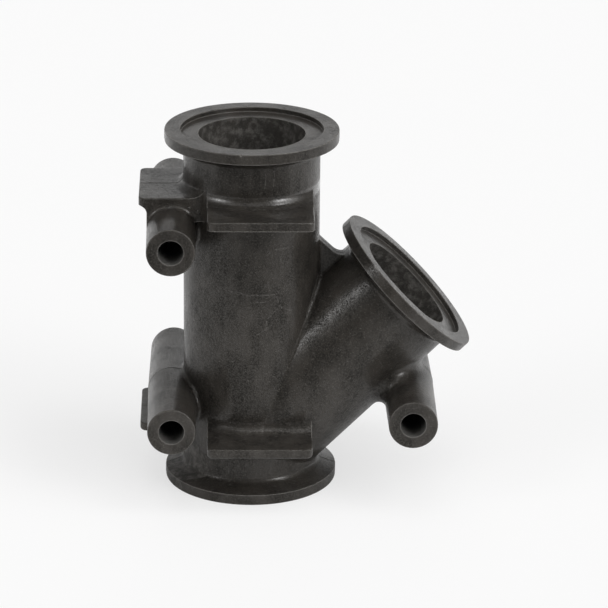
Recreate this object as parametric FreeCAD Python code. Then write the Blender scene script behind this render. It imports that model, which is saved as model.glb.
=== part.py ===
import FreeCAD, Part
import math
import os

# A moulded pipe fitting of the lateral wye kind, in one piece.
# A straight run stands upright on its lower flange, a branch leaves it at 45 degrees,
# and all three ends carry the same clamp flange. Three long bolt tubes and two collars
# of flat plates stand out of the pipes. Everything is in millimetres.
#
# Frame: the origin is the centre of the lower flange face, +Z runs up the run's axis,
# and the branch leans towards +X. The mould halves meet at Y = 0 and open along Y.
# Each half is made in front of that plane, and the back one is then mirrored.

# Pipes
overall_height = 176.15
bore_radius = 25.4
pipe_wall = 7.0
branch_angle = 45.0
branch_start_height = 24.0
branch_length = 107.8
pipe_joint_fillet = 1.5

# Clamp flanges
flange_radius = 41.35
flange_rim_thickness = 5.0
flange_back_slope = 20.0
flange_neck_fillet = 3.0
mouth_edge_round = 0.2
gasket_recess_radius = 33.9
gasket_recess_depth = 2.35

# Bolt tubes, which cross both pipes along Y and taper from the parting plane to both ends
run_bolt_tube_radius = 12.0
branch_bolt_tube_radius = 12.25
bolt_tube_taper = 0.6
bolt_tube_reach = 53.3
bolt_tube_edge_round = 0.4
upper_bolt_back_extra = 1.0
lower_bolt_back_extra = 4.8
lower_bolt_back_round = 2.8
bolt_hole_radius = 6.0
run_bolt_offset = 38.0
branch_bolt_offset = 38.15
upper_bolt_drop = 43.75
lower_bolt_height = 42.7
branch_bolt_drop = 38.25
run_bolt_fillet = 1.6
branch_bolt_fillet = 5.0

# Collar plates, both the lugs and the ears
plate_edge_round = 0.6
lower_plate_underside_round = 1.6
root_margin = 0.5

# Lugs, the collar plates that reach forward and back
lug_left = 21.2
lug_right = 28.8
lug_past_bolt_tube = 0.7
lug_corner_radius = 3.5
lug_fillet = 5.0
upper_lug_drop = 28.75
upper_lug_thickness = 4.3
lower_lug_top = 34.0
lower_lug_thickness = 5.0

# Ears, the collar plates that reach left past the bolt tubes
ear_past_bolt_tube = 3.35
ear_half_depth = 23.0
ear_corner_radius = 3.0
ear_fillet = 4.4
ear_sink = 11.5
upper_ear_drop = 27.25
upper_ear_lip = 3.8
upper_ear_root_thickness = 11.5
saddle_step = 0.4
saddle_fillet = 2.5
lower_ear_top = 35.0
lower_ear_thickness = 4.4

# Web in the crotch between the run and the branch
web_thickness = 7.2
web_foot_inset = 15.17
web_slope = 43.0
web_end_radius = 6.0
web_end_sink = 1.2
web_run_sink = 6.0

# Two small nicks that knocks have left in the edge of the top flange
left_nick_angle = 7.7
right_nick_angle = -74.0
nick_depth = 0.9
nick_inset = 1.3

# Shared directions and places
tolerance = 0.01
pipe_radius = bore_radius + pipe_wall
ear_reach = run_bolt_offset + run_bolt_tube_radius + ear_past_bolt_tube
lug_reach = bolt_tube_reach + lug_past_bolt_tube
upper_lug_top = overall_height - upper_lug_drop
upper_ear_top = overall_height - upper_ear_drop
lean = math.radians(branch_angle)
up = FreeCAD.Vector(0, 0, 1)
back = FreeCAD.Vector(0, 1, 0)
along_branch = FreeCAD.Vector(math.cos(lean), 0, math.sin(lean))
below_branch = FreeCAD.Vector(math.sin(lean), 0, -math.cos(lean))
foot = FreeCAD.Vector(0, 0, 0)
head = FreeCAD.Vector(0, 0, overall_height)
crossing = FreeCAD.Vector(0, 0, branch_start_height)
branch_mouth = crossing + along_branch * branch_length
upper_bolt = FreeCAD.Vector(-run_bolt_offset, 0, overall_height - upper_bolt_drop)
lower_bolt = FreeCAD.Vector(-run_bolt_offset, 0, lower_bolt_height)
branch_bolt = branch_mouth - along_branch * branch_bolt_drop + below_branch * branch_bolt_offset


def point(x, z):
    """A point on the parting plane."""
    return FreeCAD.Vector(x, 0, z)


def line(start, end):
    return Part.LineSegment(start, end).toShape()


def arc(start, middle, end):
    return Part.Arc(start, middle, end).toShape()


def joined(shape, *others):
    return shape.fuse(list(others)).removeSplitter()


def front_half(shape):
    """The part of a shape in front of the parting plane."""
    box = shape.BoundBox
    corner = FreeCAD.Vector(box.XMin, box.YMin, box.ZMin)
    return shape.common(Part.makeBox(box.XLength, -box.YMin, box.ZLength, corner))


def points_along(edge):
    """Nine points spread over an edge, or none on an edge without length."""
    if edge.Degenerated:
        return []
    start, end = edge.ParameterRange
    return [edge.valueAt(start + (end - start) * step / 8) for step in range(9)]


def edges_where(shape, test):
    """The edges whose every point passes the test."""
    found = []
    for edge in shape.Edges:
        spots = points_along(edge)
        if spots and all(test(spot) for spot in spots):
            found.append(edge)
    return found


def curved_edges_where(shape, test):
    return [edge for edge in edges_where(shape, test) if edge.Curve.TypeId != "Part::GeomLine"]


def off_parting_plane(edges):
    return [edge for edge in edges if min(spot.y for spot in points_along(edge)) < -tolerance]


def distance_from_axis(spot, start, direction):
    arm = spot - start
    return (arm - direction * arm.dot(direction)).Length


def on_run(spot):
    return abs(distance_from_axis(spot, foot, up) - pipe_radius) < tolerance


def on_branch(spot):
    return abs(distance_from_axis(spot, crossing, along_branch) - pipe_radius) < tolerance


def middle_radius(centre):
    """A bolt tube's radius at the parting plane, where it is thickest."""
    return branch_bolt_tube_radius if centre == branch_bolt else run_bolt_tube_radius


def tapered_radius(centre, reach):
    return middle_radius(centre) - bolt_tube_taper * reach / bolt_tube_reach


def on_bolt_tube(spot, centre):
    return abs(distance_from_axis(spot, centre, back) - tapered_radius(centre, abs(spot.y))) < tolerance


def at_height(spot, height):
    return abs(spot.z - height) < tolerance


def spun(edges):
    """Spins a closed section about the Z axis."""
    return Part.Face(Part.Wire(Part.__sortEdges__(edges))).revolve(foot, up, 360)


def slab(edges, depth):
    """A closed outline on the parting plane, grown forward."""
    return Part.Face(Part.Wire(edges)).extrude(back * -depth)


def flange_outline(mouth, inward):
    """Half of a clamp flange's section, from the pipe's axis out to the end of the neck.

    The face is flat, the rim upright, the back slopes and a fillet leads to the pipe.
    """
    slope = math.radians(flange_back_slope)
    normal = point(math.sin(slope), inward * math.cos(slope))
    rim_front = point(flange_radius, mouth)
    rim_back = point(flange_radius, mouth + inward * flange_rim_thickness)
    centre_x = pipe_radius + flange_neck_fillet
    rise = (flange_neck_fillet - normal.x * (centre_x - flange_radius)) / math.cos(slope)
    centre = point(centre_x, rim_back.z + inward * rise)
    slope_end = centre - normal * flange_neck_fillet
    middle = centre - (normal + point(1, 0)).normalize() * flange_neck_fillet
    neck_end = point(pipe_radius, centre.z)
    edges = [
        line(point(0, mouth), rim_front),
        line(rim_front, rim_back),
        line(rim_back, slope_end),
        arc(slope_end, middle, neck_end),
    ]
    return edges, neck_end


def run_pipe():
    """The solid run with a clamp flange at each end."""
    lower, lower_neck = flange_outline(0, 1)
    upper, upper_neck = flange_outline(overall_height, -1)
    return spun(lower + upper + [line(lower_neck, upper_neck), line(foot, head)])


def branch_pipe():
    """The solid branch with one clamp flange, leaning away from the run."""
    mouth, neck = flange_outline(branch_length, -1)
    start = point(pipe_radius, 0)
    pipe = spun(mouth + [line(neck, start), line(start, foot), line(foot, point(0, branch_length))])
    pipe.Placement = FreeCAD.Placement(crossing, FreeCAD.Rotation(up, along_branch))
    return pipe


def web():
    """Half of the web in the crotch, whose lower end turns upwards into the branch.

    Its corner lies on the branch, a set way back from the mouth, and it climbs to the run from there.
    """
    slope = math.radians(web_slope)
    downhill = point(math.cos(slope), -math.sin(slope))
    rooted = branch_mouth - below_branch * (pipe_radius - web_end_sink)
    corner = rooted - along_branch * web_foot_inset
    inside = corner - downhill * ((corner.x - pipe_radius + web_run_sink) / downhill.x)
    opening = math.acos((downhill * -1).dot(along_branch))
    bisector = (along_branch - downhill).normalize()
    centre = corner + bisector * (web_end_radius / math.sin(opening / 2))
    curve_start = corner - downhill * (web_end_radius / math.tan(opening / 2))
    curve_end = corner + along_branch * (web_end_radius / math.tan(opening / 2))
    deep = curve_end + below_branch * pipe_wall
    low = point(inside.x, crossing.z + pipe_radius * 2)
    outline = [
        line(inside, curve_start),
        arc(curve_start, centre - bisector * web_end_radius, curve_end),
        line(curve_end, deep),
        line(deep, low),
        line(low, inside),
    ]
    return slab(outline, web_thickness / 2)


def pipes():
    """The front half of run, branch and web, with one small fillet along every inner corner."""
    shape = joined(front_half(run_pipe().fuse(branch_pipe())), web())
    corners = edges_where(shape, lambda spot: on_run(spot) or on_branch(spot))
    corners = [edge for edge in corners if edge.Curve.TypeId != "Part::GeomCircle"]
    return shape.makeFillet(pipe_joint_fillet, off_parting_plane(corners))


def bolt_tube(centre, extra=0, edge_round=bolt_tube_edge_round):
    """Half of a bolt tube, tapered so that the mould opens, with a soft edge at its end."""
    reach = bolt_tube_reach + extra
    end_radius = tapered_radius(centre, reach)
    tube = Part.makeCone(middle_radius(centre), end_radius, reach, centre, back * -1)
    return tube.makeFillet(edge_round, edges_where(tube, lambda spot: abs(spot.y + reach) < tolerance))


def with_seam_fillet(shape, centre, radius):
    """Rounds the line on which a bolt tube meets the pipe behind it."""

    def is_seam(spot):
        return on_bolt_tube(spot, centre) and (on_run(spot) or on_branch(spot))

    return shape.makeFillet(radius, off_parting_plane(edges_where(shape, is_seam)))


def upper_ear(tube):
    """The upper left plate and its bolt tube.

    A saddle joins them on the outside, and a thick root fills the gap between tube and run.
    """
    wall_x = saddle_step - run_bolt_offset - run_bolt_tube_radius
    overhang = ear_reach + wall_x
    under = upper_ear_top - upper_ear_root_thickness
    inner_x = ear_sink - pipe_radius
    lip = point(-ear_reach, upper_ear_top - upper_ear_lip)
    curve_end = point(wall_x, lip.z - overhang)
    middle = point(-ear_reach, curve_end.z) + point(1, 1).normalize() * overhang
    corners = [
        curve_end,
        point(wall_x, upper_bolt.z),
        upper_bolt,
        point(upper_bolt.x, under),
        point(inner_x, under),
        point(inner_x, upper_ear_top),
        point(-ear_reach, upper_ear_top),
        lip,
    ]
    straight = [line(start, end) for start, end in zip(corners, corners[1:])]
    ear = slab(straight + [arc(lip, middle, curve_end)], ear_half_depth)
    ear = with_soft_top(ear.makeFillet(ear_corner_radius, outer_ear_corners(ear)), upper_ear_top)
    root_x = -math.sqrt((pipe_radius + ear_fillet) ** 2 - ear_half_depth ** 2) - root_margin
    root = plate(root_x, inner_x, ear_half_depth, upper_ear_top, upper_ear_root_thickness)
    saddled = joined(ear, root, tube)

    def is_saddle_end(spot):
        return abs(spot.y + ear_half_depth) < tolerance and on_bolt_tube(spot, upper_bolt)

    return saddled.makeFillet(saddle_fillet, edges_where(saddled, is_saddle_end))


def outer_ear_corners(shape):
    """The upright edge at an ear's outer corner."""

    def is_outer_corner(spot):
        return abs(spot.x + ear_reach) < tolerance and abs(spot.y + ear_half_depth) < tolerance

    return edges_where(shape, is_outer_corner)


def plate(left, right, reach, top, thickness):
    """Half of a flat plate, from the parting plane forward."""
    corner = FreeCAD.Vector(left, -reach, top - thickness)
    return Part.makeBox(right - left, reach, thickness, corner)


def with_round_underside(shape):
    """Rounds the lower edges of a plate that lies low, which the mould leaves soft."""
    bottom = shape.BoundBox.ZMin
    lower_edges = edges_where(shape, lambda spot: at_height(spot, bottom))
    return shape.makeFillet(lower_plate_underside_round, off_parting_plane(lower_edges))


def with_soft_top(shape, top):
    """Takes the sharpness off the edges around a plate's top."""
    top_edges = edges_where(shape, lambda spot: at_height(spot, top))
    return shape.makeFillet(plate_edge_round, off_parting_plane(top_edges))


def lower_ear():
    """The lower left plate, from its outer edge to the middle of its bolt tube."""
    ear = plate(-ear_reach, lower_bolt.x, ear_half_depth, lower_ear_top, lower_ear_thickness)
    ear = ear.makeFillet(ear_corner_radius, outer_ear_corners(ear))
    return with_round_underside(with_soft_top(ear, lower_ear_top))


def lug(top, thickness, root_reach):
    """The plate that reaches forward, with round corners and, past its root, a soft top edge."""
    blank = plate(-lug_left, lug_right, lug_reach, top, thickness)
    outer = edges_where(blank, lambda spot: abs(spot.y + lug_reach) < tolerance)
    upright = [edge for edge in outer if abs(edge.tangentAt(edge.FirstParameter).z) > 1 - tolerance]
    blank = blank.makeFillet(lug_corner_radius, upright)
    return joined(with_soft_top(blank, top), plate(-lug_left, lug_right, root_reach, top, thickness))


def upper_lug():
    """The upper lug, whose root ends where its fillet to the run runs out on the left."""
    fillet_reach = math.sqrt((pipe_radius + lug_fillet) ** 2 - lug_left ** 2)
    return lug(upper_lug_top, upper_lug_thickness, fillet_reach + root_margin)


def lower_lug():
    """The lower lug, whose root also holds the wider fillet to the branch."""
    root_reach = pipe_radius + lug_fillet + root_margin
    return with_round_underside(lug(lower_lug_top, lower_lug_thickness, root_reach))


def with_lug_fillet(shape, top):
    """Rounds the lines on which a lug's top meets the pipes."""
    left = -lug_left - lug_corner_radius
    front = lug_reach - 2 * lug_corner_radius

    def is_seam(spot):
        return at_height(spot, top) and spot.x > left and -front < spot.y

    return shape.makeFillet(lug_fillet, off_parting_plane(curved_edges_where(shape, is_seam)))


def with_ear_fillet(shape):
    """Rounds the lines on which the upper ear's top and front meet the run."""

    def is_seam(spot):
        beside = abs(spot.y + ear_half_depth) < tolerance and spot.z > upper_bolt.z
        return on_run(spot) and spot.x < 0 and (at_height(spot, upper_ear_top) or beside)

    return shape.makeFillet(ear_fillet, off_parting_plane(edges_where(shape, is_seam)))


def outer_half(upper_tube, lower_tube):
    """The outside of one mould half, still solid inside."""
    shape = with_ear_fillet(joined(pipes(), upper_ear(upper_tube)))
    shape = with_seam_fillet(shape, upper_bolt, run_bolt_fillet)
    shape = with_seam_fillet(joined(shape, lower_tube), lower_bolt, run_bolt_fillet)
    shape = with_seam_fillet(joined(shape, bolt_tube(branch_bolt)), branch_bolt, branch_bolt_fillet)
    shape = with_lug_fillet(joined(shape, upper_lug()), upper_lug_top)
    shape = with_lug_fillet(joined(shape, lower_lug()), lower_lug_top)
    return joined(shape, lower_ear())


def hollows():
    """The bores, the gasket recesses at the three mouths and the holes of the bolt tubes."""
    past_ends = 2 * bolt_tube_reach
    shapes = [
        Part.makeCylinder(bore_radius, overall_height, foot, up),
        Part.makeCylinder(bore_radius, branch_length, crossing, along_branch),
    ]
    for mouth, inward in ((foot, up), (head, up * -1), (branch_mouth, along_branch * -1)):
        shapes.append(Part.makeCylinder(gasket_recess_radius, gasket_recess_depth, mouth, inward))
    for centre in (upper_bolt, lower_bolt, branch_bolt):
        start = centre - back * past_ends
        shapes.append(Part.makeCylinder(bolt_hole_radius, 2 * past_ends, start, back))
    return shapes


def nick(angle):
    """A V groove across the top flange's edge, whose valley falls from the face to the rim."""
    turn = math.radians(angle)
    outward = FreeCAD.Vector(-math.sin(turn), -math.cos(turn), 0)
    sideways = outward.cross(up)
    start = head + outward * (flange_radius - nick_inset)
    valley = (outward * nick_inset - up * nick_depth).normalize()
    opening = sideways.cross(valley).normalize()
    size = nick_depth + nick_inset
    bar = Part.makeBox(2 * size, size, size)
    turned = FreeCAD.Rotation(valley, opening - sideways, opening + sideways, "XYZ")
    bar.Placement = FreeCAD.Placement(start - valley * (size / 2), turned)
    return bar


def on_flange_face(spot):
    on_branch_face = abs((spot - branch_mouth).dot(along_branch)) < tolerance
    return at_height(spot, 0) or at_height(spot, overall_height) or on_branch_face


def at_bolt_hole_mouth(spot):
    """True around the two mouths of each bolt hole."""
    if abs(spot.y) < bolt_tube_reach - tolerance:
        return False
    reaches = [distance_from_axis(spot, centre, back) for centre in (upper_bolt, lower_bolt, branch_bolt)]
    return abs(min(reaches) - bolt_hole_radius) < tolerance


def front_outside():
    return outer_half(bolt_tube(upper_bolt), bolt_tube(lower_bolt))


def back_outside():
    """The back half, on which two of the bolt tubes reach a little further."""
    upper_tube = bolt_tube(upper_bolt, upper_bolt_back_extra)
    lower_tube = bolt_tube(lower_bolt, lower_bolt_back_extra, lower_bolt_back_round)
    return outer_half(upper_tube, lower_tube).mirror(foot, back)


def wye_body():
    """The whole fitting, with the sharpest edges at its open ends taken off."""
    shape = joined(front_outside(), back_outside()).cut(hollows())
    sharp = edges_where(shape, lambda spot: on_flange_face(spot) or at_bolt_hole_mouth(spot))
    shape = shape.makeFillet(mouth_edge_round, sharp)
    return shape.cut([nick(left_nick_angle), nick(right_nick_angle)])


os.makedirs("parts", exist_ok=True)
body = wye_body()
body.exportStep("parts/wye_body.step")
print("wye_body", "valid" if body.isValid() else "not valid", len(body.Solids), "solid")
print("volume", round(body.Volume), "cubic mm")
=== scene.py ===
# %% [markdown]
# # A moulded wye pipe fitting
#
# The object is one piece of dark, glass-filled plastic: an upright run, a branch that leans out at
# 45 degrees, three clamp flanges, three long bolt tubes and two collars of flat plates. The solid
# comes from the CAD model, in metres, with its origin at the centre of the lower flange face.
# This lesson lights it as a studio would, gives it the skin of a moulded part with its marks of
# making and use, and adds the thin lines of plastic that the mould leaves where its halves meet.

# %% Load the frame
import math

import bmesh
import bpy
from mathutils import Matrix, Vector


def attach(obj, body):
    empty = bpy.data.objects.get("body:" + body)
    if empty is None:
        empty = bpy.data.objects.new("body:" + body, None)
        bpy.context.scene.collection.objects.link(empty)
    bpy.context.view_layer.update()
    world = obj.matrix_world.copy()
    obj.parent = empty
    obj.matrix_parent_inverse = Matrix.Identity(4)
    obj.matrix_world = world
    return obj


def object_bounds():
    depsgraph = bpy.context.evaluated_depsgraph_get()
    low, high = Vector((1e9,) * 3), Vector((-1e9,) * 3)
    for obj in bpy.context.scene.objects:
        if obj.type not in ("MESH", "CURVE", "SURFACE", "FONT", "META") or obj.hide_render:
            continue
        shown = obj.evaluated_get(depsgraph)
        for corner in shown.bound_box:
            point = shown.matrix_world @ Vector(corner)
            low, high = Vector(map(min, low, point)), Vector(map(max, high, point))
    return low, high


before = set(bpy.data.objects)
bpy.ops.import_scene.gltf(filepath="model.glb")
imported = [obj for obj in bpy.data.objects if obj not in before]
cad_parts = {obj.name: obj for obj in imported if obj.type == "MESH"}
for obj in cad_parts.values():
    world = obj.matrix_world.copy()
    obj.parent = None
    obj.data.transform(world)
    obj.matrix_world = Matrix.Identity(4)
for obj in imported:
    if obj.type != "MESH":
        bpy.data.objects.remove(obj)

cad_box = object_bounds()
body_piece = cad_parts["wye_body"]
print("nodes", sorted(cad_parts), "box", [[round(v, 4) for v in corner] for corner in cad_box])

# %% [markdown]
# ## The camera
#
# The photograph was taken from a little above and almost square to the plane in which the run and
# the branch lie. A long lens keeps the sides of each pipe nearly parallel. The camera looks at a
# point on that plane, and a small roll sets the horizon as in the photograph.

# %% Camera
picture_size = 608
camera_azimuth = math.radians(-1.570)
camera_elevation = math.radians(20.569)
camera_roll = math.radians(0.562)
camera_distance = 1.6343
camera_aim = Vector((0.025395, 0.0, 0.087468))
focal_pixels = 3392.6
sensor_width = 36.0
farthest_seen = 40.0

outward = Vector((
    math.sin(camera_azimuth) * math.cos(camera_elevation),
    -math.cos(camera_azimuth) * math.cos(camera_elevation),
    math.sin(camera_elevation),
))
right = (-outward).cross(Vector((0, 0, 1))).normalized()
upward = right.cross(-outward).normalized()
rolled_right = right * math.cos(camera_roll) + upward * math.sin(camera_roll)
rolled_upward = upward * math.cos(camera_roll) - right * math.sin(camera_roll)

camera_data = bpy.data.cameras.new("photo_camera")
camera_data.sensor_width = sensor_width
camera_data.lens = focal_pixels * sensor_width / picture_size
camera_data.clip_end = farthest_seen
camera = bpy.data.objects.new("photo_camera", camera_data)
bpy.context.scene.collection.objects.link(camera)
turn = Matrix((rolled_right, rolled_upward, outward)).transposed()
camera.matrix_world = Matrix.Translation(camera_aim + outward * camera_distance) @ turn.to_4x4()
bpy.context.scene.camera = camera
print("camera at", [round(v, 3) for v in camera.location], "lens", round(camera_data.lens, 1))

# %% [markdown]
# ## Helpers for node trees
#
# Every material, shader group and geometry tree below is written with the same few helpers. One
# empties a material's tree and one adds a node, with its settings and with values or sockets for its
# inputs. The others are sums on numbers, masks and vectors. A mask is a number from zero to one that
# says how strongly something shows at a place. The helpers keep each later cell down to what its
# finish does.

# %% Node helpers
def new_material(name):
    """A material with an empty node tree, and that tree."""
    material = bpy.data.materials.new(name)
    material.use_nodes = True
    material.node_tree.nodes.clear()
    return material, material.node_tree


def add(tree, kind, inputs=None, **settings):
    """Adds a node. Inputs are values or the sockets that feed them, by name or number."""
    node = tree.nodes.new(kind)
    for name, value in settings.items():
        setattr(node, name, value)
    for name, value in (inputs or {}).items():
        if isinstance(value, bpy.types.NodeSocket):
            tree.links.new(value, node.inputs[name])
        else:
            node.inputs[name].default_value = value
    return node


def maths(tree, operation, *values, clamp=False):
    """One operation on one, two or three numbers or sockets, as a socket."""
    inputs = dict(enumerate(values))
    return add(tree, "ShaderNodeMath", inputs, operation=operation, use_clamp=clamp).outputs[0]


print("helpers ready")

# %% Helpers for masks and places
measuring = ("DOT_PRODUCT", "DISTANCE", "LENGTH")


def times(tree, first, *others):
    """Numbers or sockets multiplied together."""
    for other in others:
        first = maths(tree, "MULTIPLY", first, other)
    return first


def plus_share(tree, base, mask, share):
    """A value and a share of a mask."""
    return maths(tree, "ADD", base, times(tree, mask, share))


def opposite(tree, mask):
    """One where the mask is zero, and zero where it is one."""
    return maths(tree, "SUBTRACT", 1.0, mask)


def any_of(tree, masks):
    """The strongest of several masks at each place."""
    strongest = masks[0]
    for mask in masks[1:]:
        strongest = maths(tree, "MAXIMUM", strongest, mask)
    return strongest


def vector_maths(tree, operation, *vectors):
    """One operation on one or two vectors. Gives a vector, or a number where it measures."""
    node = add(tree, "ShaderNodeVectorMath", dict(enumerate(vectors)), operation=operation)
    return node.outputs["Value" if operation in measuring else "Vector"]


def scaled(tree, vector, factor):
    """A vector made longer or shorter by a number or socket."""
    inputs = {0: vector, "Scale": factor}
    return add(tree, "ShaderNodeVectorMath", inputs, operation="SCALE").outputs["Vector"]


def split(tree, vector):
    """The X, Y and Z of a vector."""
    return add(tree, "ShaderNodeSeparateXYZ", {0: vector}).outputs


print("vector operations that measure", len(measuring))

# %% [markdown]
# ## The studio
#
# The photograph shows a bare white studio. The floor is a large white sheet that still catches the
# fitting's shadow. More light would make it whiter but would bleach the part with it, so the sheet
# is lifted towards white where it is looked at, and a little where the part mirrors it.
#
# The front of the part mirrors the floor before it, and in the photograph those faces are darker
# higher up, so the white sheet is taken to end a little way in front. There the sheet is grey for
# the part's gloss and for the light that it gives back, but stays white to the camera.

# %% Floor
floor_size = 24.0
floor_level = 0.93
glow_in_view = 0.65
glow_in_gloss = 0.08
grey_near, grey_far, grey_half_width = -0.30, -1.60, 1.2
grey_level = 0.38

bpy.ops.mesh.primitive_plane_add(size=floor_size, location=(0, 0, 0))
floor = bpy.context.object
floor.name = "floor"
floor_material, tree = new_material("white_floor")
ray = add(tree, "ShaderNodeLightPath").outputs
place = split(tree, add(tree, "ShaderNodeTexCoord").outputs["Object"])
grey = times(
    tree,
    maths(tree, "LESS_THAN", place["Y"], grey_near),
    maths(tree, "GREATER_THAN", place["Y"], grey_far),
    maths(tree, "LESS_THAN", maths(tree, "ABSOLUTE", place["X"]), grey_half_width),
    opposite(tree, ray["Is Camera Ray"]),
)
tone = maths(tree, "SUBTRACT", floor_level, times(tree, grey, floor_level - grey_level))
paper = add(tree, "ShaderNodeBsdfDiffuse", {"Color": tone})
white = add(tree, "ShaderNodeEmission", {"Color": (1, 1, 1, 1), "Strength": 1.0})
lift = any_of(tree, [
    times(tree, ray["Is Glossy Ray"], glow_in_gloss),
    times(tree, ray["Is Camera Ray"], glow_in_view),
])
sheet = add(tree, "ShaderNodeMixShader", {0: lift, 1: paper.outputs[0], 2: white.outputs[0]})
add(tree, "ShaderNodeOutputMaterial", {"Surface": sheet.outputs["Shader"]})
floor.data.materials.append(floor_material)
print("floor", floor_size, "m")

# %% [markdown]
# ## The light
#
# A dark, half-glossy plastic is shaped by what it mirrors. The studio is taken to have a strong pair
# of softboxes at the right, a weaker one at the left, a weak one high in front, one overhead and some
# weak ones behind the object. Lamps would do, but here each softbox is a soft round patch painted on
# the world, so it lights the object and the floor evenly. It has an azimuth and an elevation in
# degrees, a strength and one of two sharpnesses, and azimuth zero is the camera's side. Together the
# softboxes light the open floor to about its own colour.

# %% Softboxes
wide, compact = 14.0, 70.0
room_level = 0.01
softboxes = {
    "right, low": (50, 25, 10.0, compact),
    "right, high": (70, 60, 5.0, compact),
    "right, spread": (60, 35, 2.5, wide),
    "left, low": (-60, 30, 6.0, compact),
    "left, spread": (-60, 30, 1.0, wide),
    "front, high": (0, 60, 1.2, wide),
    "overhead": (0, 90, 1.0, compact),
    "overhead, spread": (0, 90, 1.3, wide),
    "rear, high": (180, 50, 1.0, compact),
    "rear, low": (180, 5, 1.0, wide),
    "rear left, low": (-145, 5, 0.5, wide),
    "rear right, low": (145, 5, 0.5, wide),
}

world = bpy.data.worlds.new("studio")
bpy.context.scene.world = world
world.use_nodes = True
tree = world.node_tree
tree.nodes.clear()
direction = add(tree, "ShaderNodeTexCoord").outputs["Generated"]
level = room_level
for azimuth, elevation, strength, sharpness in softboxes.values():
    turned, raised = math.radians(azimuth), math.radians(elevation)
    towards = (
        math.sin(turned) * math.cos(raised),
        -math.cos(turned) * math.cos(raised),
        math.sin(raised),
    )
    facing = maths(tree, "MAXIMUM", vector_maths(tree, "DOT_PRODUCT", direction, towards), 0.0)
    level = plus_share(tree, level, maths(tree, "POWER", facing, sharpness), strength)
background = add(tree, "ShaderNodeBackground", {"Color": (1, 1, 1, 1), "Strength": level})
add(tree, "ShaderNodeOutputWorld", {"Surface": background.outputs["Background"]})
print("softboxes", len(softboxes))

# %% [markdown]
# ## Shader groups for the skin
#
# Two materials share the same skin, the body's plastic and the thin line of flash, so its patterns
# are shader node groups. Each reads the place on the part in metres and gives plain masks, and the
# material decides what they do to colour, roughness and relief. The first group is the skin itself:
# a fine grain from the mould's surface, a soft swell, clouds where the melt flowed and upright
# streaks.

# %% Group maker and noise
def new_group(name, inputs, outputs):
    """A shader node group with named sockets. Inputs are given as name: (kind, value)."""
    group = bpy.data.node_groups.new(name, "ShaderNodeTree")
    for socket, (kind, value) in inputs.items():
        made = group.interface.new_socket(socket, in_out="INPUT", socket_type="NodeSocket" + kind)
        made.default_value = value
    for socket in outputs:
        group.interface.new_socket(socket, in_out="OUTPUT", socket_type="NodeSocketFloat")
    entry = group.nodes.new("NodeGroupInput").outputs
    exit_sockets = group.nodes.new("NodeGroupOutput").inputs
    return group, entry, exit_sockets


def use_group(tree, group, inputs):
    """Places a shader group in a tree and gives what comes out of it."""
    return add(tree, "ShaderNodeGroup", inputs, node_tree=group).outputs


def noise(tree, position, size, detail=2.0, roughness=0.5):
    """Soft noise whose blobs are about the given size in metres."""
    scale = 1 / size if isinstance(size, float) else maths(tree, "DIVIDE", 1.0, size)
    inputs = {"Vector": position, "Scale": scale, "Detail": detail, "Roughness": roughness}
    return add(tree, "ShaderNodeTexNoise", inputs).outputs["Fac"]


def stretched(tree, position, factors):
    """The position scaled apart along the axes, so that a pattern on it becomes long one way."""
    return vector_maths(tree, "MULTIPLY", position, factors)


def ramp(tree, value, low, high, to_low=0.0, to_high=1.0):
    """Maps low..high softly onto to_low..to_high."""
    inputs = {"Value": value, 1: low, 2: high, 3: to_low, 4: to_high}
    return add(tree, "ShaderNodeMapRange", inputs, interpolation_type="SMOOTHSTEP").outputs[0]


print("noise and ramps ready")

# %% Group for the moulded skin
grain_size, swell_size, cloud_size, streak_size = 0.0007, 0.0022, 0.011, 0.0016
cloud_stretch = (1.0, 1.0, 0.55)
streak_stretch = (1.0, 1.0, 0.05)

skin_group, given, gives = new_group(
    "moulded_skin",
    {
        "Position": ("Vector", (0, 0, 0)),
        "Grain": ("Float", grain_size),
        "Swell": ("Float", swell_size),
        "Cloud": ("Float", cloud_size),
    },
    ("Grain", "Swell", "Cloud", "Streak"),
)
tree = skin_group
place = given["Position"]
cloud_place = stretched(tree, place, cloud_stretch)
streak_place = stretched(tree, place, streak_stretch)
patterns = {
    "Grain": noise(tree, place, given["Grain"], detail=3.0, roughness=0.65),
    "Swell": noise(tree, place, given["Swell"]),
    "Cloud": noise(tree, cloud_place, given["Cloud"], detail=5.0, roughness=0.6),
    "Streak": noise(tree, streak_place, streak_size),
}
for name, pattern in patterns.items():
    tree.links.new(pattern, gives[name])
print("group", skin_group.name, len(skin_group.nodes), "nodes")

# %% [markdown]
# ## A scratch as a line on the front
#
# Scratches on the photographed part are thin, bent and broken. Each is a few straight strokes seen
# from the front, so a stroke is a mask around a segment in the X-Z plane. The group measures how far
# a place is from the segment, and its mask fades to nothing over the width of the stroke.

# %% Group for one stroke
scratch_width = 0.0006

stroke_group, given, gives = new_group(
    "scratch_stroke",
    {
        "Place": ("Vector", (0, 0, 0)),
        "Start": ("Vector", (0, 0, 0)),
        "End": ("Vector", (1, 0, 0)),
        "Width": ("Float", scratch_width),
    },
    ("Mask",),
)
tree = stroke_group
arm = vector_maths(tree, "SUBTRACT", given["Place"], given["Start"])
span = vector_maths(tree, "SUBTRACT", given["End"], given["Start"])
along = maths(
    tree, "DIVIDE",
    vector_maths(tree, "DOT_PRODUCT", arm, span),
    vector_maths(tree, "DOT_PRODUCT", span, span),
    clamp=True,
)
off = vector_maths(tree, "DISTANCE", arm, scaled(tree, span, along))
tree.links.new(opposite(tree, ramp(tree, off, 0.0, given["Width"])), gives["Mask"])
print("group", stroke_group.name, len(stroke_group.nodes), "nodes")

# %% [markdown]
# ## Ejector marks
#
# The mould pushes the part out with round pins, and they left faint ovals on the front of the upper
# lug. An oval is a ring that is flattened: the distance from its centre, in which height counts for
# more than width, is compared with the ring's radius.

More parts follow.
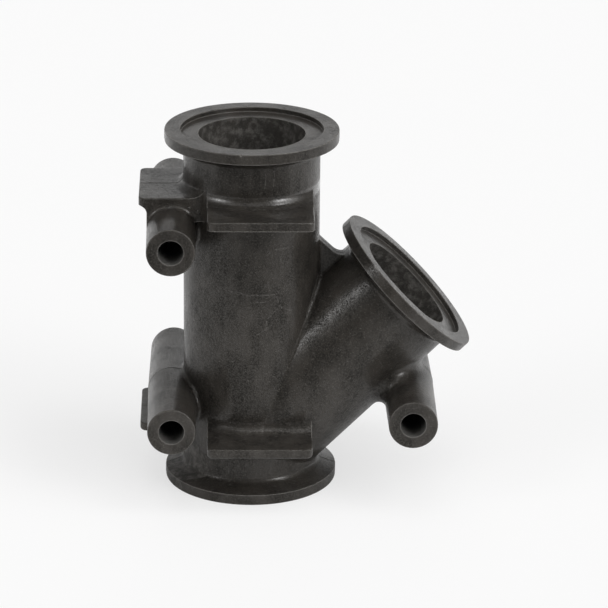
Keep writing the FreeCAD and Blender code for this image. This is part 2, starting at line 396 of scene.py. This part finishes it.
# %% Group for an oval mark
mark_radius, mark_line, mark_flatness = 0.0018, 0.00035, 1.7

oval_group, given, gives = new_group(
    "pin_mark",
    {
        "Place": ("Vector", (0, 0, 0)),
        "Centre": ("Vector", (0, 0, 0)),
        "Radius": ("Float", mark_radius),
        "Line": ("Float", mark_line),
        "Flatness": ("Float", mark_flatness),
    },
    ("Mask",),
)
tree = oval_group
arm = split(tree, vector_maths(tree, "SUBTRACT", given["Place"], given["Centre"]))
tall = times(tree, arm["Z"], given["Flatness"])
squares = maths(tree, "ADD", times(tree, arm["X"], arm["X"]), times(tree, tall, tall))
reach = maths(tree, "SQRT", squares)
gap = maths(tree, "ABSOLUTE", maths(tree, "SUBTRACT", reach, given["Radius"]))
tree.links.new(opposite(tree, ramp(tree, gap, 0.0, given["Line"])), gives["Mask"])
print("group", oval_group.name, len(oval_group.nodes), "nodes")

# %% [markdown]
# ## Inside a pipe
#
# The bores are cored out by long steel pins and are never polished, so their walls are rougher than
# the outside. Their greyer colour is partly that rough core and partly painted light, for the light
# that falls into them. The group tells whether a point is as near to a pipe's axis as the wall of
# its bore is. It takes the axis as a line without ends.

# %% Group for the bore walls
bore_radius = 0.0254
wall_tolerance = 0.0003

bore_group, given, gives = new_group(
    "bore_wall",
    {
        "Position": ("Vector", (0, 0, 0)),
        "Start": ("Vector", (0, 0, 0)),
        "Axis": ("Vector", (0, 0, 1)),
        "Radius": ("Float", bore_radius),
    },
    ("Mask",),
)
tree = bore_group
arm = vector_maths(tree, "SUBTRACT", given["Position"], given["Start"])
away = vector_maths(tree, "LENGTH", vector_maths(tree, "CROSS_PRODUCT", arm, given["Axis"]))
limit = maths(tree, "ADD", given["Radius"], wall_tolerance)
tree.links.new(maths(tree, "LESS_THAN", away, limit), gives["Mask"])
print("group", bore_group.name, len(bore_group.nodes), "nodes")

# %% [markdown]
# ## The plastic
#
# Glass-filled plastic is nearly black, slightly warm and half glossy: a dull base with a thin
# resin-rich skin that mirrors more sharply, which is the coat. Clouds and streaks move the colour,
# clouds and grain the roughness, and the grain gives relief. Scratches and scuffs are paler than the
# skin. First come the masks of where a place lies: in a bore, in a bolt hole or on the front.

# %% Plastic: bores and bolt holes
branch_start = (0.0, 0.0, 0.024)
branch_angle = math.radians(45.0)
branch_axis = (math.sin(branch_angle), 0.0, math.cos(branch_angle))
bolt_centres = [(-0.038, 0.1324), (-0.038, 0.0427), (0.07616, 0.04620)]
bolt_hole_reach = 0.00615
without_depth = (1, 0, 1)

plastic, tree = new_material("moulded_plastic")
position = add(tree, "ShaderNodeTexCoord").outputs["Object"]
coordinates = split(tree, position)
surface = use_group(tree, skin_group, {"Position": position})
branch_line = {"Position": position, "Start": branch_start, "Axis": branch_axis}
in_bore = any_of(tree, [
    use_group(tree, bore_group, {"Position": position})["Mask"],
    use_group(tree, bore_group, branch_line)["Mask"],
])

# the bolt holes are bored or cored plain and stay dull inside; their colour is painted lighter, as
# painted light
seen_place = vector_maths(tree, "MULTIPLY", position, without_depth)
holes = []
for hole_x, hole_z in bolt_centres:
    away = vector_maths(tree, "DISTANCE", seen_place, (hole_x, 0, hole_z))
    holes.append(maths(tree, "LESS_THAN", away, bolt_hole_reach))
in_hole = any_of(tree, holes)
print("bores 2, bolt holes", len(holes))

# %% Plastic: a wandering place on the front
wander_size, wander_reach = 0.0025, 0.0007
front_limit = -0.012

# the place moves by a fraction of a millimetre, so that lines drawn on it are not ruled straight
shaken = add(tree, "ShaderNodeTexNoise", {"Vector": position, "Scale": 1 / wander_size})
centred = vector_maths(tree, "SUBTRACT", shaken.outputs["Color"], (0.5, 0.5, 0.5))
wandered = vector_maths(tree, "ADD", position, scaled(tree, centred, wander_reach))
flat_place = vector_maths(tree, "MULTIPLY", wandered, without_depth)
on_front = maths(tree, "LESS_THAN", coordinates["Y"], front_limit)
print("lines wander over", wander_reach, "m")

# %% [markdown]
# ## Scratches and ejector marks
#
# Knocks and tools have left thin, bent and broken scratches on the front of the run and its neck.
# Their ends and bends are written as places in millimetres on the X-Z plane, so that each stroke of
# the group above lands where the photograph has it. The pins left three ovals on the upper lug, one
# at its left and two that overlap at its right.

# %% Plastic: scratches on the front of the run
scratch_paths_mm = {
    "long level scratch": [(-13.4, 105.8), (-5.7, 105.0), (-2.4, 103.9), (10.8, 103.7)],
    "short level scratch": [(1.5, 100.6), (6.1, 100.3)],
    "slanting scratch": [(11.8, 96.3), (7.1, 91.3), (6.7, 86.2), (2.4, 83.9)],
    "hook beside it": [(10.8, 103.9), (12.3, 100.7), (13.7, 96.8), (18.5, 94.2)],
    "upper scratch": [(6.9, 123.9), (10.7, 126.0), (17.8, 126.4)],
    "upper tick": [(13.1, 122.7), (13.8, 119.6)],
    "middle tick": [(7.5, 110.4), (8.5, 106.2)],
    "neck line, right": [(10.4, 165.0), (10.0, 157.7)],
    "neck line, left": [(6.4, 163.5), (5.9, 157.1)],
}
break_size = 0.0018

strokes = []
for path in scratch_paths_mm.values():
    ends = [(x / 1000, 0.0, z / 1000) for x, z in path]
    for start, end in zip(ends, ends[1:]):
        stroke = {"Place": flat_place, "Start": start, "End": end}
        strokes.append(use_group(tree, stroke_group, stroke)["Mask"])
broken = ramp(tree, noise(tree, position, break_size), 0.36, 0.56)
scratches = times(tree, any_of(tree, strokes), broken, on_front)
print("scratches", len(scratch_paths_mm), "strokes", len(strokes))

# %% Plastic: ejector marks on the upper lug
lug_front_y = -0.0535
mark_centres_mm = [(-11.2, 144.9), (19.4, 145.1), (22.4, 145.1)]

ovals = []
for x, z in mark_centres_mm:
    oval = {"Place": flat_place, "Centre": (x / 1000, 0.0, z / 1000)}
    ovals.append(use_group(tree, oval_group, oval)["Mask"])
on_lug_front = maths(tree, "LESS_THAN", coordinates["Y"], lug_front_y)
pin_marks = times(tree, any_of(tree, ovals), on_lug_front)
print("pin marks", len(ovals))

# %% [markdown]
# ## Scuffs, blotches and pale edges, partly a painted highlight
#
# Handling leaves short pale rubs on what faces up, and the wall of the bore is blotched. Both are
# noise cut off at a level, kept to the places where they belong. Edges are painted pale too, partly
# as wear and partly as a painted highlight along each edge. A Bevel node finds them: its normal is
# rounded off near an edge, and where it leaves the true one, over a fraction of a millimetre, the
# edge is paled.

# %% Plastic: scuffs, blotches, and pale edges that are partly a painted highlight
rub_stretch, rub_size = (1.0, 3.0, 1.0), 0.0032
blotch_size = 0.0042
edge_reach = 0.0009
wear_size = 0.003

surface_normal = add(tree, "ShaderNodeNewGeometry").outputs["Normal"]
facing_up = ramp(tree, split(tree, surface_normal)["Z"], 0.2, 0.8)
rub_lines = noise(tree, stretched(tree, position, rub_stretch), rub_size, detail=5.0, roughness=0.7)
rubs = times(tree, ramp(tree, rub_lines, 0.56, 0.68), facing_up)
spots = noise(tree, position, blotch_size, detail=6.0, roughness=0.72)
blotches = times(tree, ramp(tree, spots, 0.42, 0.66), in_bore)

# painted highlight: the edges found here are paled, partly as wear and partly as a highlight painted
# in
rounded = add(tree, "ShaderNodeBevel", {"Radius": edge_reach}, samples=6).outputs["Normal"]
agreement = vector_maths(tree, "DOT_PRODUCT", rounded, surface_normal)
uneven_edge_wear_and_highlight = ramp(tree, noise(tree, position, wear_size, detail=3.0), 0.30, 0.60, 0.45, 1.0)
edge_wear_and_highlight = times(tree, opposite(tree, ramp(tree, agreement, 0.90, 0.992)), uneven_edge_wear_and_highlight)
print("edges worn and painted highlight over", edge_reach, "m")

# %% [markdown]
# ## Colour in layers
#
# The colour starts as the darkest skin, and each layer paints another tone over it by a share of its
# mask. The clouds, the streaks and the fine tone lead to the greyer skin where the resin is thin.
# Bores are painted greyer, partly for their rough core and partly as painted light, and the bolt
# holes are painted lighter as painted light. The pale marks left by use come last, together with a
# painted highlight along the edges.

# %% Plastic: colour
dark_skin = (0.0078, 0.0074, 0.0065, 1.0)
worn_skin = (0.0370, 0.0328, 0.0282, 1.0)
# bore wall tone: partly the rough core, partly painted light for the light falling into the bores
bore_skin_and_painted_light = (0.0520, 0.0500, 0.0470, 1.0)
# pale tone for scratches, rubs, specks and blotches; on the edges it is a painted highlight
pale_mark_and_edge_highlight = (0.1750, 0.1670, 0.1560, 1.0)
# painted light: a lighter tone inside the bolt holes stands in for the light that reaches into them
hole_skin_painted_light = (0.0850, 0.0830, 0.0790, 1.0)
speck_size = 0.0008


def blend(tree, amount, first, second):
    """Mixes two colours by an amount."""
    inputs = {0: amount, 6: first, 7: second}
    return add(tree, "ShaderNodeMix", inputs, data_type="RGBA").outputs[2]


specks = noise(tree, position, speck_size, detail=3.0, roughness=0.7)
# the pale marks also carry the painted highlight along the edges
marks_of_use_and_edge_highlight = any_of(tree, [
    times(tree, scratches, 0.30),
    times(tree, rubs, 0.24),
    times(tree, edge_wear_and_highlight, 1.25),
])
layers = {
    "clouds": (worn_skin, ramp(tree, surface["Cloud"], 0.34, 0.66), 1.0),
    "streaks": (worn_skin, ramp(tree, surface["Streak"], 0.40, 0.75), 0.35),
    "fine tone": (worn_skin, ramp(tree, surface["Grain"], 0.38, 0.64), 0.75),
    "specks": (pale_mark_and_edge_highlight, ramp(tree, specks, 0.54, 0.70), 0.22),
    # painted light: the bore walls are lightened, partly for the rough core and partly for light
    # falling in
    "bore walls": (bore_skin_and_painted_light, in_bore, 0.45),
    "blotches": (pale_mark_and_edge_highlight, blotches, 0.55),
    # painted light: the bolt holes are lightened to stand in for the light reaching inside them
    "bolt holes": (hole_skin_painted_light, in_hole, 1.0),
    "marks of use and edge highlight": (pale_mark_and_edge_highlight, marks_of_use_and_edge_highlight, 1.0),
}
colour = dark_skin
for tone, mask, share in layers.values():
    colour = blend(tree, times(tree, mask, share), colour, tone)
print("colour layers", len(layers))

# %% [markdown]
# ## Gloss and relief
#
# The skin is half glossy where resin came to the surface and duller where the glass fibres lie open,
# and rubbed places are dull. A thin coat of varying weight gives the sharper mirror over the dull
# base. The corner between the neck and the upper lug is polished, apart from its middle. Grain,
# swell, scratches and pin marks share one height, which becomes the relief.

# %% Plastic: the polished corner above the upper lug
corner_height, corner_half_height, corner_reach = 0.1497, 0.0034, 0.0385
polished_from, polished_to, lug_left_x = 0.006, 0.012, -0.0212

off_height = maths(tree, "ABSOLUTE", maths(tree, "SUBTRACT", coordinates["Z"], corner_height))
off_axis = vector_maths(tree, "LENGTH", vector_maths(tree, "MULTIPLY", position, (1, 1, 0)))
in_corner = times(
    tree,
    opposite(tree, ramp(tree, off_height, corner_half_height * 0.5, corner_half_height)),
    maths(tree, "LESS_THAN", off_axis, corner_reach),
    maths(tree, "GREATER_THAN", coordinates["X"], lug_left_x),
)
off_middle = ramp(tree, maths(tree, "ABSOLUTE", coordinates["X"]), polished_from, polished_to)
polished = times(tree, in_corner, off_middle)
dull_middle = times(tree, in_corner, opposite(tree, off_middle))
print("polished corner at", corner_height, "m")

# %% Plastic: roughness and gloss
base_roughness = 0.27
rougher = {
    "clouds": (surface["Cloud"], 0.16),
    "grain": (surface["Grain"], 0.10),
    "marks of use and edge highlight": (marks_of_use_and_edge_highlight, 0.35),
    "bore walls": (in_bore, 0.10),
    "middle of the corner": (dull_middle, 0.25),
}
hole_roughness = 0.85
gloss_in_bore = 0.4

roughness = base_roughness
for mask, share in rougher.values():
    roughness = plus_share(tree, roughness, mask, share)
roughness = maths(tree, "MAXIMUM", roughness, times(tree, in_hole, hole_roughness))

gloss = times(tree, ramp(tree, surface["Cloud"], 0.35, 0.65), 0.30)
gloss = plus_share(tree, gloss, ramp(tree, surface["Grain"], 0.40, 0.62), 0.60)
gloss = plus_share(tree, gloss, polished, 0.9)
gloss = times(tree, gloss, ramp(tree, in_bore, 0.0, 1.0, 1.0, gloss_in_bore))
gloss = times(tree, gloss, opposite(tree, in_hole))
print("roughness from", base_roughness, "to", hole_roughness)

# %% Plastic: relief and the shader
relief_depth = 0.00026
warm_tint = (1.0, 0.95, 0.88, 1.0)
coat_roughness = 0.20

relief = times(tree, surface["Grain"], 0.9)
relief = plus_share(tree, relief, surface["Swell"], 0.6)
relief = plus_share(tree, relief, scratches, -0.9)
relief = plus_share(tree, relief, pin_marks, -0.8)
bump = add(tree, "ShaderNodeBump", {"Height": relief, "Distance": relief_depth, "Strength": 1.0})

shader = add(tree, "ShaderNodeBsdfPrincipled", {
    "Base Color": colour,
    "Roughness": roughness,
    "Normal": bump.outputs["Normal"],
    "Specular IOR Level": 0.21,
    "Specular Tint": warm_tint,
    "Coat Weight": gloss,
    "Coat Roughness": coat_roughness,
})
add(tree, "ShaderNodeOutputMaterial", {"Surface": shader.outputs["BSDF"]})
body_piece.data.materials.clear()
body_piece.data.materials.append(plastic)
print("plastic", len(tree.nodes), "nodes")

# %% [markdown]
# ## The parting line
#
# Where the two mould halves meet, a hair of plastic is squeezed out all round the part, in the
# plane Y = 0. It could be modelled by hand, but it follows the part exactly, so it is taken from
# the part itself: a merged copy of the body is cut at that plane and the outer edges of the cut are
# kept. The bores, the flange faces and the bolt holes are cleaned or cored, so they have no line.

# %% Outer edges of the cut at the parting plane
flange_radius = 0.04135
rim_inside = flange_radius - 0.0004
face_clear = 0.0026
bore_clear = 0.0262
hole_clear = 0.0065
fitting_height = cad_box[1].z
branch_length = 0.1078
same_point = 1e-6


def has_flash(spot):
    """True on the outside of the part, away from bores, flange faces and bolt holes."""
    x, z = spot.x, spot.z
    at_face = z < face_clear or z > fitting_height - face_clear
    if abs(x) < bore_clear or (at_face and abs(x) < rim_inside):
        return False
    arm = Vector((x - branch_start[0], 0, z - branch_start[2]))
    along = arm.dot(Vector(branch_axis))
    away = (arm - Vector(branch_axis) * along).length
    at_mouth = along > branch_length - face_clear
    if along > 0 and (away < bore_clear or (at_mouth and away < rim_inside)):
        return False
    return all(math.hypot(x - cx, z - cz) > hole_clear for cx, cz in bolt_centres)


section = bmesh.new()
section.from_mesh(body_piece.data)
bmesh.ops.remove_doubles(section, verts=section.verts, dist=same_point)
everything = section.verts[:] + section.edges[:] + section.faces[:]
cut = bmesh.ops.bisect_plane(section, geom=everything, plane_co=(0, 0, 0), plane_no=(0, 1, 0))
lines = [part for part in cut["geom_cut"] if isinstance(part, bmesh.types.BMEdge)]
lines = [edge for edge in lines if has_flash((edge.verts[0].co + edge.verts[1].co) / 2)]
line_points = [vertex.co.copy() for edge in lines for vertex in edge.verts]
print("parting line edges", len(lines))
section.free()

# %% The edges as a path
joined_within = 2e-5


def wire(name, points, pairs):
    """A mesh object of bare edges, as a path for geometry nodes."""
    mesh = bpy.data.meshes.new(name)
    mesh.from_pydata(points, pairs, [])
    shaped = bmesh.new()
    shaped.from_mesh(mesh)
    bmesh.ops.remove_doubles(shaped, verts=shaped.verts, dist=joined_within)
    shaped.to_mesh(mesh)
    shaped.free()
    made = bpy.data.objects.new(name, mesh)
    bpy.context.scene.collection.objects.link(made)
    return made


pairs = [(index, index + 1) for index in range(0, len(line_points), 2)]
parting_path = wire("parting_line", line_points, pairs)
print("path", parting_path.name, len(parting_path.data.vertices), "points")

# %% [markdown]
# ## A bead along a path, with geometry nodes
#
# The same small tree makes every line of flash: it turns the bare edges into curves, spaces their
# points evenly and sweeps a small ring along them, while a noise makes the bead thinner in places.

# %% Geometry nodes for a bead
def new_geometry_tree(name, inputs):
    """A geometry tree with one geometry input and output and the named inputs."""
    tree = bpy.data.node_groups.new(name, "GeometryNodeTree")
    tree.interface.new_socket("Path", in_out="INPUT", socket_type="NodeSocketGeometry")
    for socket, (kind, value) in inputs.items():
        made = tree.interface.new_socket(socket, in_out="INPUT", socket_type="NodeSocket" + kind)
        if value is not None:
            made.default_value = value
    tree.interface.new_socket("Mesh", in_out="OUTPUT", socket_type="NodeSocketGeometry")
    return tree, tree.nodes.new("NodeGroupInput").outputs, tree.nodes.new("NodeGroupOutput").inputs


bead_tree, given, gives = new_geometry_tree("flash_bead", {
    "Spacing": ("Float", 0.0005),
    "Radius": ("Float", 0.00016),
    "Unevenness": ("Float", 0.5),
    "Patch": ("Float", 0.004),
    "Seed": ("Float", 3.0),
    "Plastic": ("Material", None),
})
tree = bead_tree
curve = add(tree, "GeometryNodeMeshToCurve", {0: given["Path"]}).outputs[0]
spacing = {"Curve": curve, "Length": given["Spacing"]}
even = add(tree, "GeometryNodeResampleCurve", spacing, mode="LENGTH").outputs[0]
patches = {"W": given["Seed"], "Scale": maths(tree, "DIVIDE", 1.0, given["Patch"])}
thinning = add(tree, "ShaderNodeTexNoise", patches, noise_dimensions="4D").outputs["Fac"]
thickness = opposite(tree, times(tree, thinning, given["Unevenness"]))
ring = add(tree, "GeometryNodeCurvePrimitiveCircle", {"Resolution": 6, "Radius": given["Radius"]})
swept = add(tree, "GeometryNodeCurveToMesh", {
    "Curve": even,
    "Profile Curve": ring.outputs[0],
    "Scale": thickness,
    "Fill Caps": True,
})
smooth = add(tree, "GeometryNodeSetShadeSmooth", {0: swept.outputs[0]})
real = add(tree, "GeometryNodeRealizeInstances", {0: smooth.outputs[0]})
finish = {"Geometry": real.outputs[0], "Material": given["Plastic"]}
tree.links.new(add(tree, "GeometryNodeSetMaterial", finish).outputs[0], gives[0])
print("tree", tree.name, len(tree.nodes), "nodes")

# %% [markdown]
# ## From a node result to a plain piece
#
# A library part is easier to use as plain mesh than as a live tree, so the result is kept as the
# object's own mesh, and nothing of it may pass the box of the solid. The flash is the same plastic,
# squeezed thin and therefore a little paler, so it reads the same group for its skin.

# %% Turning a node result into a plain piece
def made_plain(holder, tree, values):
    """Runs a geometry tree on an object, keeps the result as its mesh and clamps it to the CAD box."""
    modifier = holder.modifiers.new(tree.name, "NODES")
    modifier.node_group = tree
    for socket in tree.interface.items_tree:
        if socket.in_out == "INPUT" and socket.name in values:
            modifier[socket.identifier] = values[socket.name]
    evaluated = holder.evaluated_get(bpy.context.evaluated_depsgraph_get())
    mesh = bpy.data.meshes.new_from_object(evaluated)
    holder.modifiers.clear()
    mesh.materials.clear()
    mesh.materials.append(values["Plastic"])
    low, high = cad_box
    for vertex in mesh.vertices:
        vertex.co = [min(max(value, low[axis]), high[axis]) for axis, value in enumerate(vertex.co)]
    holder.data = mesh
    return holder


print("pieces are kept inside the box of the solid")

# %% The plastic of the flash, and the parting line
flash_grain = 0.0005
flash_relief = 0.00004
dark_flash = (0.030, 0.0275, 0.0245, 1.0)
pale_flash = (0.060, 0.056, 0.050, 1.0)

flash_plastic, tree = new_material("flash_plastic")
position = add(tree, "ShaderNodeTexCoord").outputs["Object"]
surface = use_group(tree, skin_group, {"Position": position, "Grain": flash_grain})
bump = add(tree, "ShaderNodeBump", {"Height": surface["Grain"], "Distance": flash_relief})
shader = add(tree, "ShaderNodeBsdfPrincipled", {
    "Base Color": blend(tree, surface["Cloud"], dark_flash, pale_flash),
    "Roughness": ramp(tree, surface["Grain"], 0.3, 0.7, 0.26, 0.44),
    "Normal": bump.outputs["Normal"],
    "Specular IOR Level": 0.30,
    "Specular Tint": warm_tint,
    "Coat Weight": 0.30,
    "Coat Roughness": coat_roughness,
})
add(tree, "ShaderNodeOutputMaterial", {"Surface": shader.outputs["BSDF"]})

parting_line = made_plain(parting_path, bead_tree, {"Plastic": flash_plastic, "Radius": 0.00013})
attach(parting_line, "root")
print("parting line", len(parting_line.data.polygons), "faces")

# %% [markdown]
# ## Flash in the crease between run and branch
#
# The run and the branch are as thick as each other, so they meet in a plane that leans at half the
# branch's angle. A ball rolled along the crease touches the run on a line that can be written down,
# and in the photograph a bright bead of flash follows that line near the top of the crease.

# %% Crease bead
pipe_radius = 0.0324
crease_round = 0.0015
crease_slope = 1 / math.tan(branch_angle / 2)
bead_top, bead_end = math.radians(83.0), math.radians(53.0)
bead_steps = 40

crease_points = []
for step in range(bead_steps + 1):
    around = bead_top + (bead_end - bead_top) * step / bead_steps
    crease_points.append((
        pipe_radius * math.sin(around),
        -pipe_radius * math.cos(around),
        branch_start[2] + crease_slope * (pipe_radius + crease_round) * math.sin(around),
    ))
crease_path = wire("crease_flash", crease_points, [(n, n + 1) for n in range(bead_steps)])
crease_flash = made_plain(crease_path, bead_tree, {
    "Plastic": flash_plastic, "Radius": 0.00030, "Unevenness": 0.9, "Patch": 0.008,
})
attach(crease_flash, "root")
print("crease bead", len(crease_flash.data.polygons), "faces")

# %% [markdown]
# ## Small lumps of plastic
#
# Three small lumps stand where the flash was thickest: one at the top of the crease and two in the
# corner beside the upper bolt tube. They are the same low drop set on three points, each sized at
# random from one fixed seed.

# %% Lumps
lump_places = [(0.0330, -0.0052, 0.1036), (-0.0296, -0.0230, 0.1442), (-0.0254, -0.0230, 0.1422)]
smallest_lump, largest_lump = (0.7, 0.7, 0.8), (1.2, 0.9, 1.6)

lump_tree, given, gives = new_geometry_tree("flash_lumps", {
    "Radius": ("Float", 0.0007),
    "Seed": ("Int", 5),
    "Plastic": ("Material", None),
})
tree = lump_tree
drop = add(tree, "GeometryNodeMeshIcoSphere", {"Radius": given["Radius"], "Subdivisions": 3})
span = {0: smallest_lump, 1: largest_lump, "Seed": given["Seed"]}
size = add(tree, "FunctionNodeRandomValue", span, data_type="FLOAT_VECTOR").outputs[0]
setting = {"Points": given["Path"], "Instance": drop.outputs[0], "Scale": size}
placed = add(tree, "GeometryNodeInstanceOnPoints", setting)
real = add(tree, "GeometryNodeRealizeInstances", {0: placed.outputs[0]})
smooth = add(tree, "GeometryNodeSetShadeSmooth", {0: real.outputs[0]})
finish = {"Geometry": smooth.outputs[0], "Material": given["Plastic"]}
tree.links.new(add(tree, "GeometryNodeSetMaterial", finish).outputs[0], gives[0])

lumps = made_plain(wire("flash_lumps", lump_places, []), lump_tree, {"Plastic": flash_plastic})
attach(lumps, "root")
print("lumps", len(lumps.data.polygons), "faces")

# %% [markdown]
# ## Colours as they are
#
# The Standard view shows each colour as it was set, without a film curve that would grey the white
# floor.

# %% Colour management
bpy.context.scene.view_settings.view_transform = "Standard"
print("view", bpy.context.scene.view_settings.view_transform)
